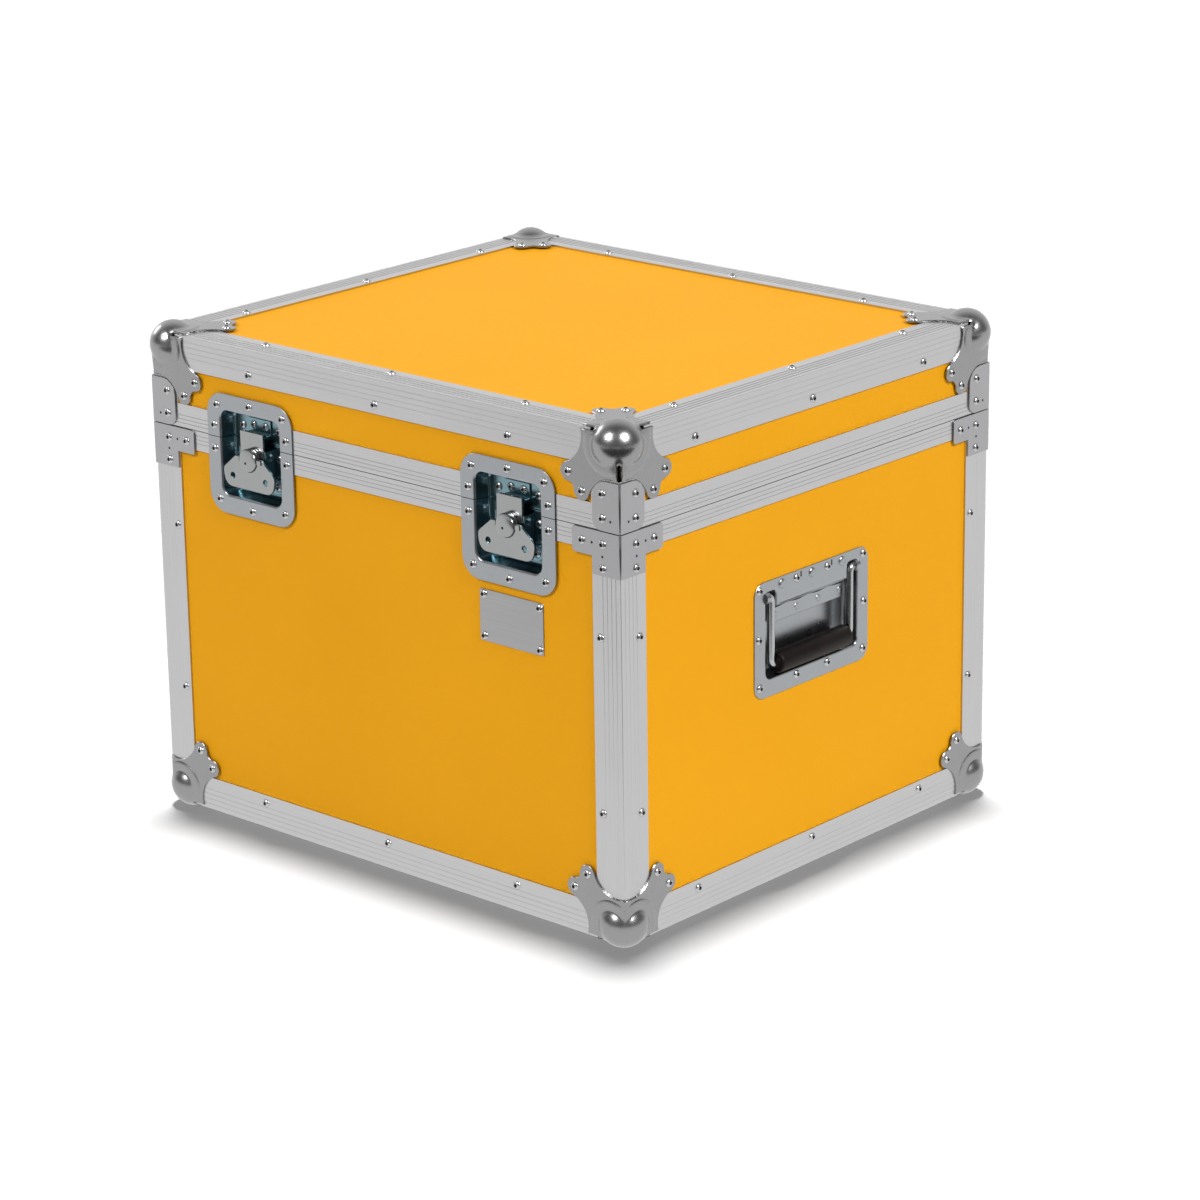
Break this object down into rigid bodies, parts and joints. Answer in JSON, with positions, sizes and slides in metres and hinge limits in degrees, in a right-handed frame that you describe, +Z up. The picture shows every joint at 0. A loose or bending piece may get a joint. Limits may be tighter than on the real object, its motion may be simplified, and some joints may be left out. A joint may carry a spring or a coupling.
{
  "type": "flight case",
  "caption": "Box-shaped transport case of yellow boards in grooved aluminium edges, with ball corners, recessed butterfly latches, a hinged lid and drop handles on the sides.",
  "frame": {"origin": "middle of the case in plan, on the plane that the lower ball corners stand on", "axes": "+X along the front to the right handle, +Y from the latches to the hinges, +Z up"},
  "size_m": [0.555, 0.5, 0.4478],
  "materials": {
    "yellow_board": "plywood with a yellow grained plastic skin outside",
    "extrusion": "extruded and anodised, fine lines along its length",
    "corner_steel": "pressed steel with bright zinc plating",
    "dish_steel": "pressed steel with bright zinc plating",
    "plated_steel": "bright plated steel",
    "rivet": "blind rivet heads",
    "grip": "black moulded grip",
    "plate": "bare satin plate"
  },
  "bodies": {
    "base": {"base_back_edge": "extrusion", "base_back_panel": "yellow_board", "base_back_rim": "extrusion", "base_ball_corners": "corner_steel", "base_bottom_panel": "yellow_board", "base_corner_braces": "corner_steel", "base_corner_posts": "extrusion", "base_edge_rivets": "rivet", "base_front_edge": "extrusion", "base_front_panel": "yellow_board", "base_front_rim": "extrusion", "base_hardware_rivets": "rivet", "base_left_edge": "extrusion", "base_left_panel": "yellow_board", "base_left_rim": "extrusion", "base_right_edge": "extrusion", "base_right_panel": "yellow_board", "base_right_rim": "extrusion", "blank_plate": "plate", "handle_covers": "dish_steel", "handle_dish_left": "dish_steel", "handle_dish_right": "dish_steel", "hinge_lower_leaves": "dish_steel", "hinge_pins": "dish_steel", "latch_beds": "dish_steel", "latch_lower_dishes": "dish_steel"},
    "lid": {"hinge_upper_leaves": "dish_steel", "latch_keepers": "dish_steel", "latch_upper_dishes": "dish_steel", "lid_back_edge": "extrusion", "lid_back_panel": "yellow_board", "lid_back_rim": "extrusion", "lid_ball_corners": "corner_steel", "lid_corner_braces": "corner_steel", "lid_corner_posts": "extrusion", "lid_edge_rivets": "rivet", "lid_front_edge": "extrusion", "lid_front_panel": "yellow_board", "lid_front_rim": "extrusion", "lid_hardware_rivets": "rivet", "lid_left_edge": "extrusion", "lid_left_panel": "yellow_board", "lid_left_rim": "extrusion", "lid_right_edge": "extrusion", "lid_right_panel": "yellow_board", "lid_right_rim": "extrusion", "lid_top_panel": "yellow_board"},
    "hook_left": {"latch_hook_left": "plated_steel"},
    "spindle_left": {"latch_spindle_left": "plated_steel", "latch_wing_pin_left": "plated_steel"},
    "wing_left": {"latch_wing_left": "plated_steel"},
    "handle_left": {"handle_bail_left": "plated_steel", "handle_grip_left": "grip"},
    "hook_right": {"latch_hook_right": "plated_steel"},
    "spindle_right": {"latch_spindle_right": "plated_steel", "latch_wing_pin_right": "plated_steel"},
    "wing_right": {"latch_wing_right": "plated_steel"},
    "handle_right": {"handle_bail_right": "plated_steel", "handle_grip_right": "grip"}
  },
  "joints": [
    {"name": "lid_hinge", "type": "hinge", "parent": "base", "child": "lid", "pos_m": [0, 0.2464, 0.3575], "axis": [-1, 0, 0], "range_deg": [0, 95]},
    {"name": "latch_turn_left", "type": "hinge", "parent": "base", "child": "spindle_left", "pos_m": [-0.15, -0.2425, 0.344], "axis": [0, -1, 0], "range_deg": [0, 180]},
    {"name": "wing_fold_left", "type": "hinge", "parent": "spindle_left", "child": "wing_left", "pos_m": [-0.15, -0.2451, 0.344], "axis": [-1, 0, 0], "range_deg": [0, 90]},
    {"name": "hook_slide_left", "type": "slide", "parent": "base", "child": "hook_left", "axis": [0, 0, 1], "range_m": [0, 0.008]},
    {"name": "handle_swing_left", "type": "hinge", "parent": "base", "child": "handle_left", "pos_m": [-0.2674, 0, 0.259], "axis": [0, 1, 0], "range_deg": [0, 90]},
    {"name": "latch_turn_right", "type": "hinge", "parent": "base", "child": "spindle_right", "pos_m": [0.15, -0.2425, 0.344], "axis": [0, -1, 0], "range_deg": [0, 180]},
    {"name": "wing_fold_right", "type": "hinge", "parent": "spindle_right", "child": "wing_right", "pos_m": [0.15, -0.2451, 0.344], "axis": [-1, 0, 0], "range_deg": [0, 90]},
    {"name": "hook_slide_right", "type": "slide", "parent": "base", "child": "hook_right", "axis": [0, 0, 1], "range_m": [0, 0.008]},
    {"name": "handle_swing_right", "type": "hinge", "parent": "base", "child": "handle_right", "pos_m": [0.2674, 0, 0.259], "axis": [0, -1, 0], "range_deg": [0, 90]}
  ],
  "couplings": [
    {"joint": "hook_slide_left", "follows": "latch_turn_left", "m_per_rad": 0.0025465},
    {"joint": "hook_slide_right", "follows": "latch_turn_right", "m_per_rad": 0.0025465}
  ]
}
